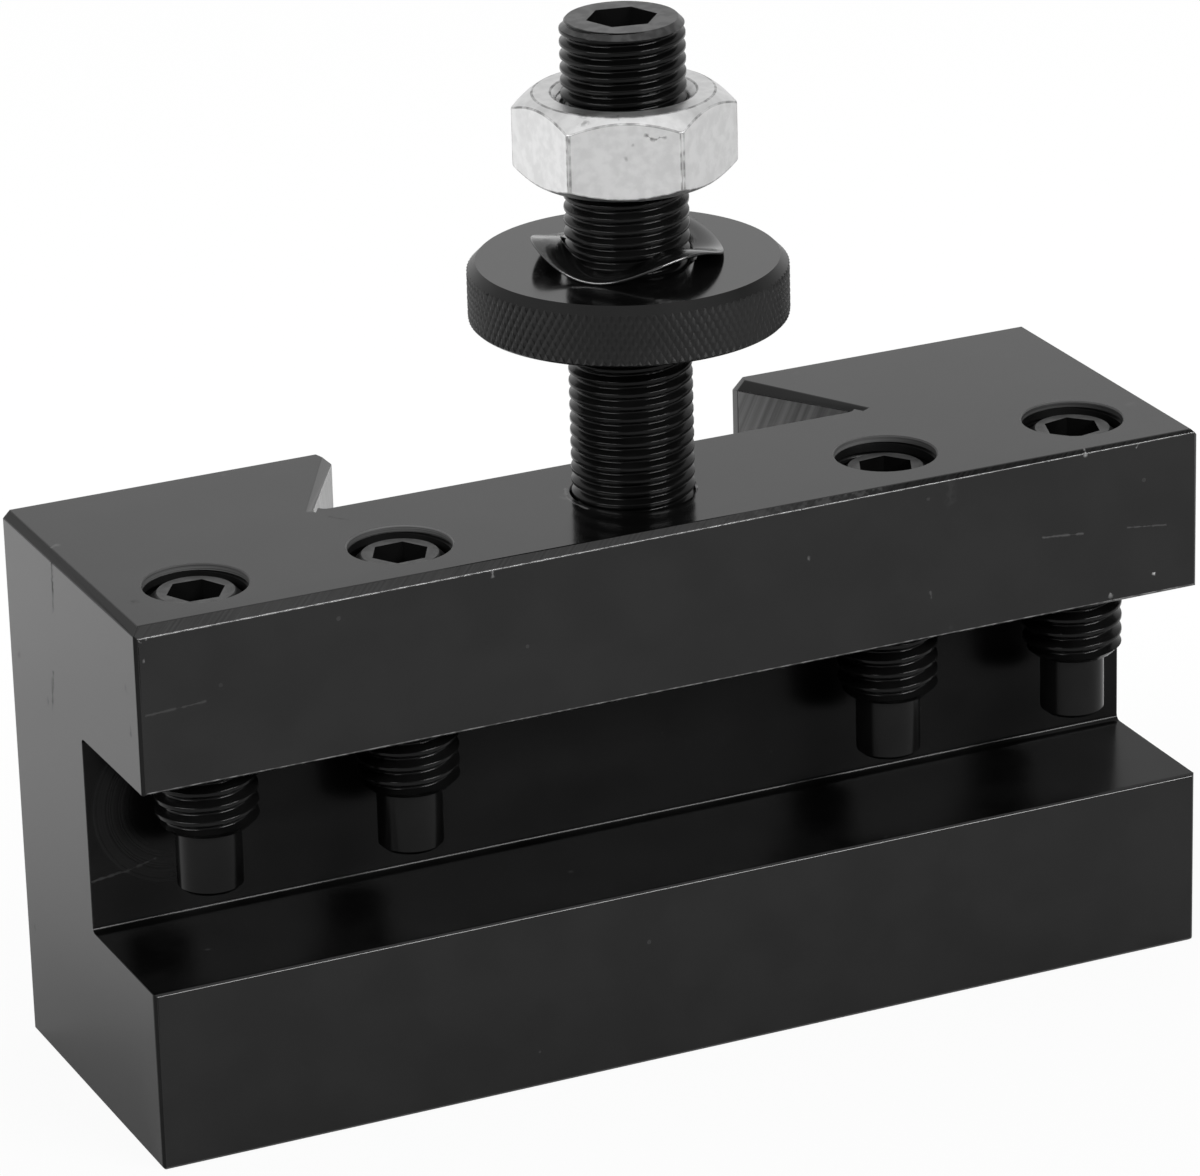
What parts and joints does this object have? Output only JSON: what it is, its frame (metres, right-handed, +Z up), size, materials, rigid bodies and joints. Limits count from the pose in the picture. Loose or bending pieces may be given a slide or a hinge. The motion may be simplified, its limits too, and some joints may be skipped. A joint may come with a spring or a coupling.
{
  "type": "lathe tool holder",
  "caption": "Quick-change lathe tool holder: slotted steel block with a rear dovetail, clamping set screws, and a height stud with knurled thumb nut, wave washer and lock nut.",
  "frame": {"origin": "middle of the block's underside", "axes": "+X along the block and its tool slot, +Y from the open tool slot to the dovetail, +Z up along the height stud"},
  "size_m": [0.112, 0.0393, 0.1026],
  "materials": {
    "black_oxide_block": "ground steel, black oxide, lightly oiled",
    "black_oxide_thread": "threaded alloy steel, black oxide",
    "black_oxide_turned": "turned and knurled steel, black oxide",
    "spring_steel": "thin spring steel, blackened, glossy",
    "zinc_plate": "bright zinc plate"
  },
  "bodies": {
    "holder": {"holder_block": "black_oxide_block", "height_stud": "black_oxide_thread"},
    "set_screw_1": {"set_screw_1": "black_oxide_thread"},
    "set_screw_2": {"set_screw_2": "black_oxide_thread"},
    "set_screw_3": {"set_screw_3": "black_oxide_thread"},
    "set_screw_4": {"set_screw_4": "black_oxide_thread"},
    "spring_washer": {"spring_washer": "spring_steel"},
    "thumb_nut": {"thumb_nut": "black_oxide_turned"},
    "lock_nut": {"lock_nut": "zinc_plate"}
  },
  "joints": [
    {"name": "set_screw_1_drive", "type": "slide", "parent": "holder", "child": "set_screw_1", "axis": [0, 0, 1], "range_m": [-0.0059, 0.0146]},
    {"name": "set_screw_2_drive", "type": "slide", "parent": "holder", "child": "set_screw_2", "axis": [0, 0, 1], "range_m": [-0.00585, 0.0146]},
    {"name": "set_screw_3_drive", "type": "slide", "parent": "holder", "child": "set_screw_3", "axis": [0, 0, 1], "range_m": [-0.00535, 0.0146]},
    {"name": "set_screw_4_drive", "type": "slide", "parent": "holder", "child": "set_screw_4", "axis": [0, 0, 1], "range_m": [-0.0057, 0.0146]},
    {"name": "thumb_nut_height", "type": "slide", "parent": "holder", "child": "spring_washer", "axis": [0, 0, 1], "range_m": [-0.01751, 0.00281]},
    {"name": "thumb_nut_turn", "type": "hinge", "parent": "spring_washer", "child": "thumb_nut", "pos_m": [0, -0.0062, 0.076], "axis": [0, 0, 1], "range_deg": [-5040, 806.4]},
    {"name": "lock_nut_height", "type": "slide", "parent": "holder", "child": "lock_nut", "axis": [0, 0, 1], "range_m": [-0.0028, 0.007]}
  ],
  "couplings": [
    {"joint": "thumb_nut_height", "follows": "thumb_nut_turn", "m_per_rad": 0.00019894}
  ]
}
